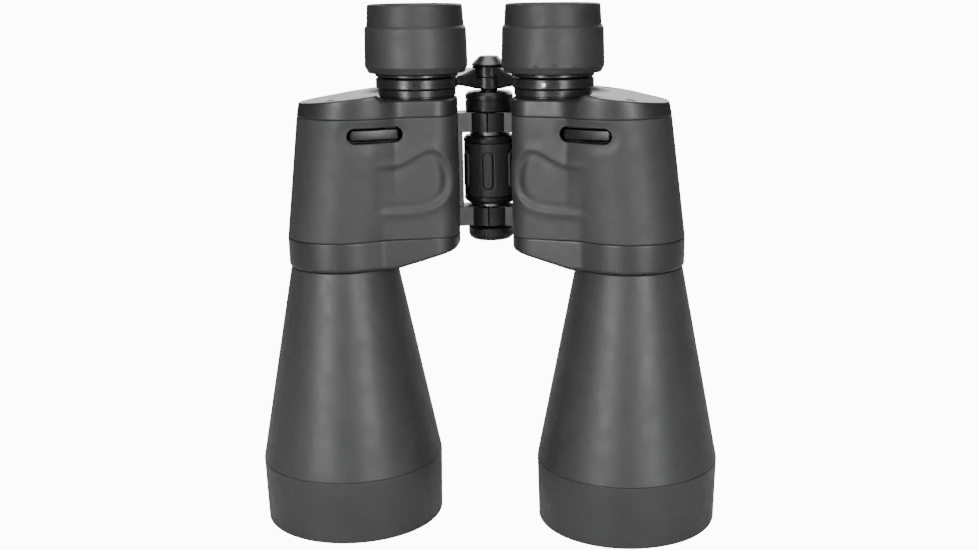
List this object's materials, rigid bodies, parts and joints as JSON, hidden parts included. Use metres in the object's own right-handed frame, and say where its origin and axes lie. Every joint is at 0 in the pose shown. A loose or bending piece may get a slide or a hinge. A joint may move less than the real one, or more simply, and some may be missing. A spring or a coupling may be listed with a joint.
{
  "type": "astronomy_binoculars",
  "caption": "Large centre-focus Porro binoculars on their objective rings: tapered barrels, rubber-armoured prism bodies, hinge, focus wheel, bridge, eyepieces and tripod socket",
  "frame": {"origin": "bottom centre of the bounding box: midway between the two objective axes, on the plane of the objective rims", "axes": "+X across, from the user's left tube to the right tube; +Y from the underside with the thumb rests to the top side; +Z along the optical axes, from the objectives up to the eyepieces"},
  "size_m": [0.2088, 0.082, 0.2305],
  "materials": {
    "barrel_coat": "matte soft-touch coat",
    "armor_rubber": "matte grained rubber",
    "grip_rubber": "matte rubber",
    "eyecup_rubber": "matte rubber",
    "satin_black": "satin black enamel",
    "black_anodised": "satin black anodised",
    "grey_anodised": "satin grey anodised",
    "body_casting": "satin black on cast alloy",
    "bare_aluminium": "machined",
    "dark_steel": "blackened",
    "spring_steel": "spring temper",
    "washer_steel": "turned",
    "screw_steel": "turned thread",
    "chrome_bar": "polished",
    "coated_glass": "multi-coated"
  },
  "bodies": {
    "left_half": {"objective_ring_left": "barrel_coat", "objective_barrel_left": "barrel_coat", "objective_cell_left": "black_anodised", "crown_lens_left": "coated_glass", "flint_lens_left": "coated_glass", "lens_retainer_left": "black_anodised", "front_cover_left": "satin_black", "prism_housing_left": "body_casting", "armor_left": "armor_rubber", "rear_cover_left": "satin_black", "cover_screws_left": "dark_steel", "prism_shelf_left": "bare_aluminium", "rear_prism_left": "coated_glass", "front_prism_left": "coated_glass", "prism_clips_left": "spring_steel", "strap_bar_left": "chrome_bar", "ocular_sleeve_left": "black_anodised", "hinge_axle": "dark_steel", "hinge_collar": "satin_black", "hinge_pin": "dark_steel", "hinge_washers": "washer_steel"},
    "right_half": {"objective_ring_right": "barrel_coat", "objective_barrel_right": "barrel_coat", "objective_cell_right": "black_anodised", "crown_lens_right": "coated_glass", "flint_lens_right": "coated_glass", "lens_retainer_right": "black_anodised", "front_cover_right": "satin_black", "prism_housing_right": "body_casting", "armor_right": "armor_rubber", "rear_cover_right": "satin_black", "cover_screws_right": "dark_steel", "prism_shelf_right": "bare_aluminium", "rear_prism_right": "coated_glass", "front_prism_right": "coated_glass", "prism_clips_right": "spring_steel", "strap_bar_right": "chrome_bar", "ocular_sleeve_right": "black_anodised"},
    "focus_knob": {"focus_wheel": "satin_black", "focus_grip": "grip_rubber"},
    "left_ocular": {"bridge_arm_left": "satin_black", "ocular_barrel_left": "black_anodised", "lens_cell_left": "black_anodised", "field_lens_left": "coated_glass", "eye_lens_left": "coated_glass", "grip_ring_left": "grip_rubber", "eyecup_left": "eyecup_rubber", "lead_screw": "screw_steel", "screw_cap": "grey_anodised"},
    "right_ocular": {"bridge_arm_right": "satin_black", "ocular_barrel_right": "black_anodised"},
    "diopter": {"diopter_ring_right": "grip_rubber", "eyecup_right": "eyecup_rubber"},
    "diopter_lenses": {"lens_cell_right": "black_anodised", "field_lens_right": "coated_glass", "eye_lens_right": "coated_glass"},
    "tripod_cap": {"tripod_cap": "satin_black"}
  },
  "joints": [
    {"name": "fold", "type": "hinge", "parent": "left_half", "child": "right_half", "pos_m": [0, 0.028, 0.158], "axis": [0, 0, 1], "range_deg": [-3, 58]},
    {"name": "focus", "type": "hinge", "parent": "left_half", "child": "focus_knob", "pos_m": [0, 0.028, 0.158], "axis": [0, 0, 1], "range_deg": [0, 450]},
    {"name": "left_ocular_travel", "type": "slide", "parent": "left_half", "child": "left_ocular", "axis": [0, 0, 1], "range_m": [0, 0.008]},
    {"name": "right_ocular_travel", "type": "slide", "parent": "right_half", "child": "right_ocular", "axis": [0, 0, 1], "range_m": [0, 0.008]},
    {"name": "diopter", "type": "hinge", "parent": "right_ocular", "child": "diopter", "pos_m": [0.0297, 0.0085, 0.21], "axis": [0, 0, 1], "range_deg": [-49, 21]},
    {"name": "diopter_lens_travel", "type": "slide", "parent": "right_ocular", "child": "diopter_lenses", "axis": [0, 0, 1], "range_m": [-0.0012, 0.00051]},
    {"name": "tripod_cap_out", "type": "slide", "parent": "left_half", "child": "tripod_cap", "axis": [0, 0, -1], "range_m": [0, 0.012]}
  ],
  "couplings": [
    {"joint": "focus", "follows": "left_ocular_travel", "rad_per_m": 981.7},
    {"joint": "right_ocular_travel", "follows": "left_ocular_travel", "ratio": 1},
    {"joint": "diopter", "follows": "diopter_lens_travel", "rad_per_m": 712.6}
  ]
}
